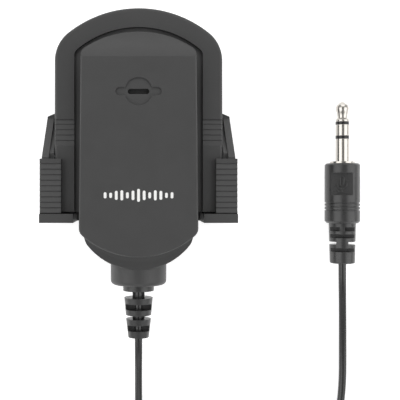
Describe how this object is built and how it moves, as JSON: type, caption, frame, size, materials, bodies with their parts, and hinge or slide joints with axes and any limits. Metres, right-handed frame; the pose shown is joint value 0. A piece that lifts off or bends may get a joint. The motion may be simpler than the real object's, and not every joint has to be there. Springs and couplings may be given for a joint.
{
  "type": "lavalier microphone",
  "caption": "Clip-on microphone lying on its back: flat rounded head in an arched clip plate with a sprung rear lever, and a thin cable with a jack plug.",
  "frame": {"origin": "on the table under the middle of the microphone's own box, without its cord", "axes": "+X to the microphone's right seen from its front, +Y towards the top of the arch, +Z out of its front face"},
  "size_m": [0.0821, 0.1514, 0.02],
  "materials": {
    "housing_abs": "fine moulded grain, satin",
    "clip_abs": "fine moulded grain, satin",
    "soft_pvc": "soft moulded, semi-matt",
    "cable_pvc": "extruded jacket, soft sheen",
    "plug_pvc": "moulded, satin",
    "nickel_plate": "turned and nickel plated",
    "insulator_plastic": "moulded",
    "steel": "zinc plated",
    "spring_steel": "drawn wire",
    "felt": "pressed felt",
    "boot_rubber": "moulded",
    "capsule_aluminium": "drawn",
    "film": "metallised film on a ring",
    "brass": "punched",
    "board": "solder mask",
    "red_insulation": "extruded",
    "white_insulation": "extruded",
    "tie_plastic": "moulded"
  },
  "bodies": {
    "head": {"front_cover": "housing_abs", "rear_case": "housing_abs", "sound_felt": "felt", "capsule_boot": "boot_rubber", "capsule_can": "capsule_aluminium", "capsule_diaphragm": "film", "capsule_backplate": "brass", "capsule_board": "board", "signal_lead": "red_insulation", "ground_lead": "white_insulation", "cable_tail": "cable_pvc", "cable_crimp": "steel", "strain_relief": "soft_pvc", "clip_plate": "clip_abs", "clip_spring": "spring_steel", "case_screws": "steel", "plate_screws": "steel", "plug_tip": "nickel_plate", "plug_ring": "nickel_plate", "plug_sleeve": "nickel_plate", "plug_insulator": "insulator_plastic", "plug_grip": "plug_pvc", "cable_from_head": "cable_pvc", "cable_to_plug": "cable_pvc", "cable_coil": "cable_pvc", "cable_tie": "tie_plastic"},
    "lever": {"rear_lever": "clip_abs", "hinge_pins": "steel"}
  },
  "joints": [
    {"name": "lever_hinge", "type": "hinge", "parent": "head", "child": "lever", "pos_m": [0, 0.0043, 0.0105], "axis": [-1, 0, 0], "range_deg": [0, 20], "stiffness_Nm_per_rad": 0.14, "springref_deg": -27.5, "deforming": ["clip_spring"]}
  ]
}
